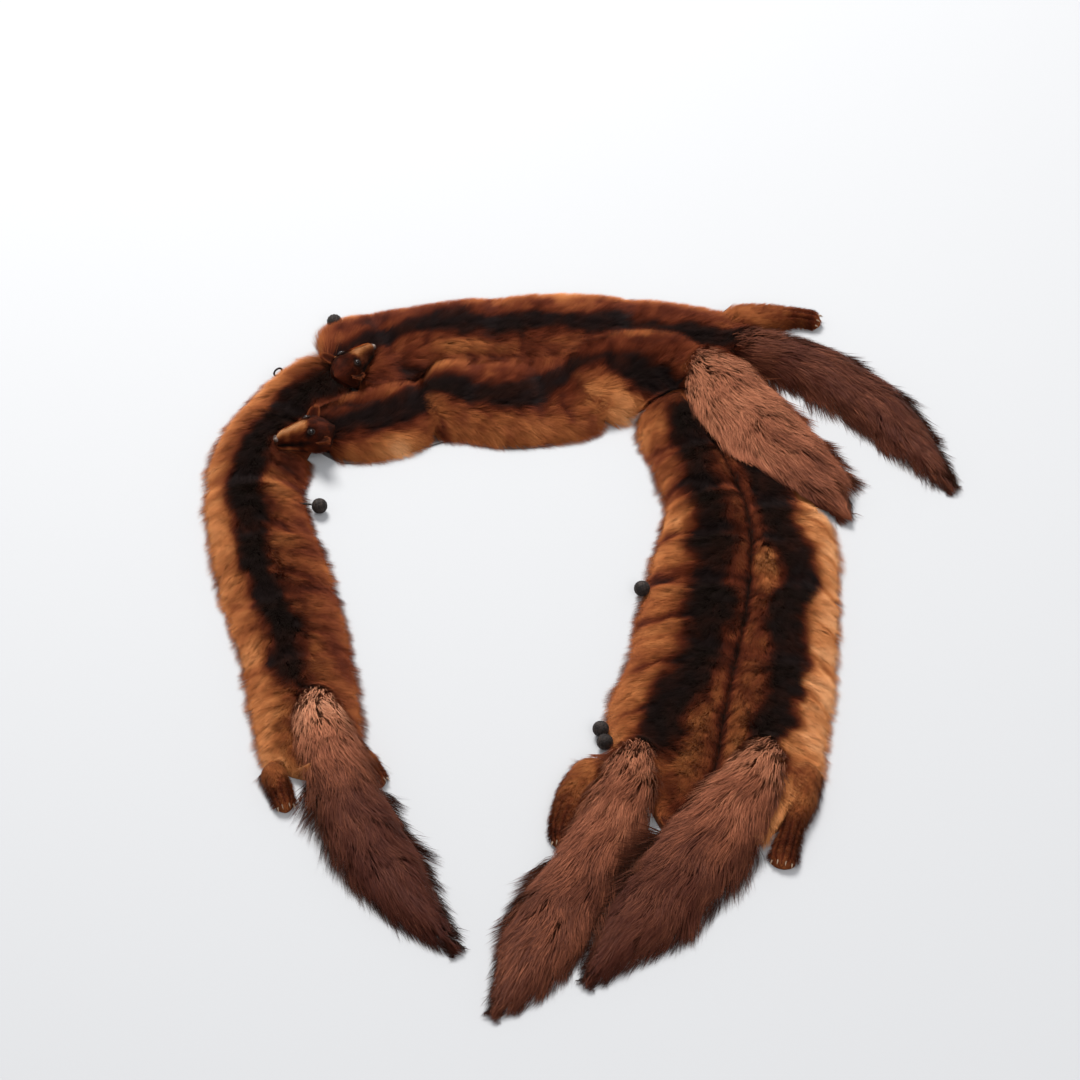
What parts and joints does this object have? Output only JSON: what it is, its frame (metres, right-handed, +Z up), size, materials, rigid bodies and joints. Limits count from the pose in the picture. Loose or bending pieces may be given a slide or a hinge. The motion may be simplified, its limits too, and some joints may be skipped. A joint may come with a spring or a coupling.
{
  "type": "fur collar stole",
  "caption": "Fur collar stole of joined animal skins with tails, hind paws, small heads and ball buttons, laid flat in a horseshoe.",
  "frame": {"origin": "centre of the bounding box, on the surface the stole lies on", "axes": "+Y away from the open end of the horseshoe, towards the band behind the neck; +X to the right; +Z up from the surface"},
  "size_m": [0.4816, 0.6064, 0.0282],
  "materials": {
    "fur_skin": "short plush fur, tan flanks and a black-brown back stripe",
    "fur_tail": "long red-brown fur in pointed locks",
    "fur_paw": "short close fur",
    "fur_head": "very short fur over a stiff form",
    "button": "crocheted cord",
    "nose": "smooth dark leather",
    "eye": "polished dark glass bead",
    "lining": "dark satin"
  },
  "bodies": {
    "root": {"lining_band": "lining", "button_1": "button", "button_2": "button", "button_3": "button", "button_4": "button", "button_5": "button", "button_shank": "button", "cord_loop": "button", "skin_band_rear": "fur_skin", "skin_left": "fur_skin", "skin_right_outer": "fur_skin", "skin_right_inner": "fur_skin", "skin_band_neck": "fur_skin", "skin_band_body": "fur_skin", "skin_band_hip": "fur_skin", "paw_left_outer": "fur_paw", "paw_left_inner": "fur_paw", "paw_band_rear": "fur_paw", "paw_right_inner": "fur_paw", "paw_right_outer": "fur_paw", "tail_left": "fur_tail", "tail_band_rear": "fur_tail", "tail_band_front": "fur_tail", "tail_right_inner": "fur_tail", "tail_right_outer": "fur_tail", "eye_left_1": "eye", "eye_left_2": "eye", "head_left": "fur_head", "nose_left": "nose", "ear_left_1": "fur_head", "ear_left_2": "fur_head", "eye_band_1": "eye", "eye_band_2": "eye", "head_band": "fur_head", "nose_band": "nose", "ear_band_1": "fur_head", "ear_band_2": "fur_head"}
  },
  "joints": []
}
